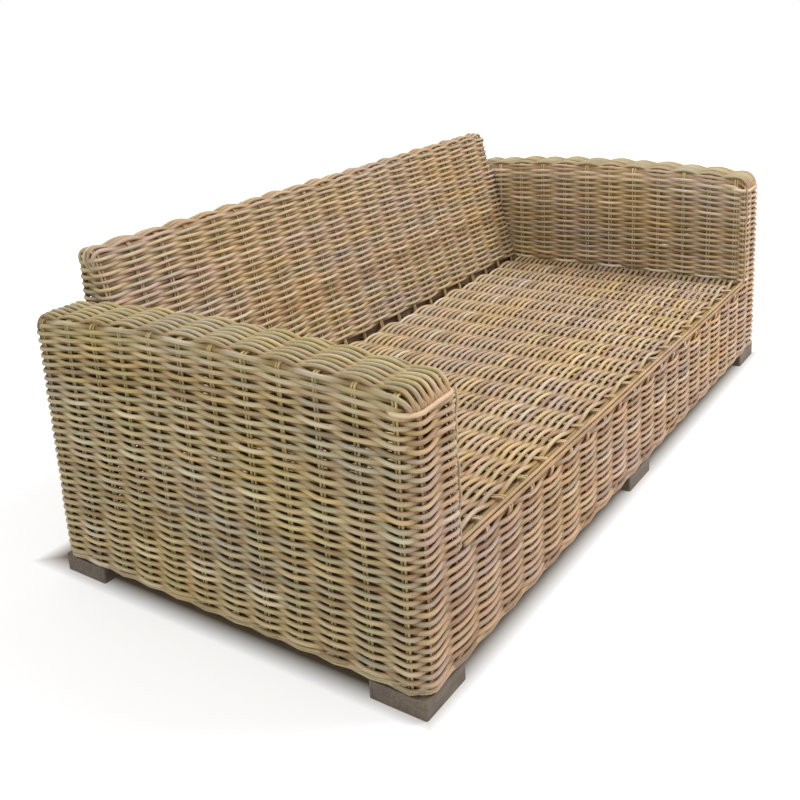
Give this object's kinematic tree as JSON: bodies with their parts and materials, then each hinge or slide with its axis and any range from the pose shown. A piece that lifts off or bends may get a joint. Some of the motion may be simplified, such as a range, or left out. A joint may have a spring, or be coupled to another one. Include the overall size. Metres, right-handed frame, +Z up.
{
  "type": "rattan garden sofa",
  "caption": "Long low garden sofa of woven rattan on a timber frame: two crowned box arms, raked back, flat seat deck and low block feet, shown without cushions.",
  "frame": {"origin": "middle of the sofa on the floor under it", "axes": "+X along the sofa towards its right arm as seen from the front, +Y towards its back, +Z up"},
  "size_m": [2.1, 1.02, 0.752],
  "materials": {
    "woven_cane": "dry matt cane, grey-brown",
    "deck_cane": "dry matt cane, golden",
    "edge_cane": "smooth cane, satin",
    "frame_timber": "sawn and planed",
    "foot_timber": "grey-brown stain, matt"
  },
  "bodies": {
    "root": {"arm_post_left_front_inner": "frame_timber", "arm_post_left_front_outer": "frame_timber", "arm_post_left_rear_inner": "frame_timber", "arm_post_left_rear_outer": "frame_timber", "arm_post_right_front_inner": "frame_timber", "arm_post_right_front_outer": "frame_timber", "arm_post_right_rear_inner": "frame_timber", "arm_post_right_rear_outer": "frame_timber", "arm_rail_left_inner": "frame_timber", "arm_rail_left_outer": "frame_timber", "arm_rail_right_inner": "frame_timber", "arm_rail_right_outer": "frame_timber", "back_ledger": "frame_timber", "back_rail_top": "frame_timber", "back_slat_left": "frame_timber", "back_slat_right": "frame_timber", "back_upright_left": "frame_timber", "back_upright_right": "frame_timber", "base_bearer_middle": "frame_timber", "base_rail_front": "frame_timber", "base_rail_left_inner": "frame_timber", "base_rail_left_outer": "frame_timber", "base_rail_rear": "frame_timber", "base_rail_right_inner": "frame_timber", "base_rail_right_outer": "frame_timber", "border_cane_front": "edge_cane", "border_cane_left": "edge_cane", "border_cane_rear": "edge_cane", "border_cane_right": "edge_cane", "foot_front_left": "foot_timber", "foot_front_middle": "foot_timber", "foot_front_right": "foot_timber", "foot_rear_left": "foot_timber", "foot_rear_middle": "foot_timber", "foot_rear_right": "foot_timber", "rim_cane_1": "edge_cane", "rim_cane_2": "edge_cane", "seat_bearer_1": "frame_timber", "seat_bearer_2": "frame_timber", "seat_bearer_3": "frame_timber", "seat_rail_front": "frame_timber", "seat_rail_rear": "frame_timber", "weave_apron_front": "woven_cane", "weave_arm_left_front": "woven_cane", "weave_arm_left_inner": "woven_cane", "weave_arm_left_outer": "woven_cane", "weave_arm_left_rear": "woven_cane", "weave_arm_left_top": "woven_cane", "weave_arm_right_front": "woven_cane", "weave_arm_right_inner": "woven_cane", "weave_arm_right_outer": "woven_cane", "weave_arm_right_rear": "woven_cane", "weave_arm_right_top": "woven_cane", "weave_back_end_left": "woven_cane", "weave_back_end_right": "woven_cane", "weave_back_front": "woven_cane", "weave_back_rear": "woven_cane", "weave_back_top": "woven_cane", "weave_seat_deck": "deck_cane"}
  },
  "joints": []
}
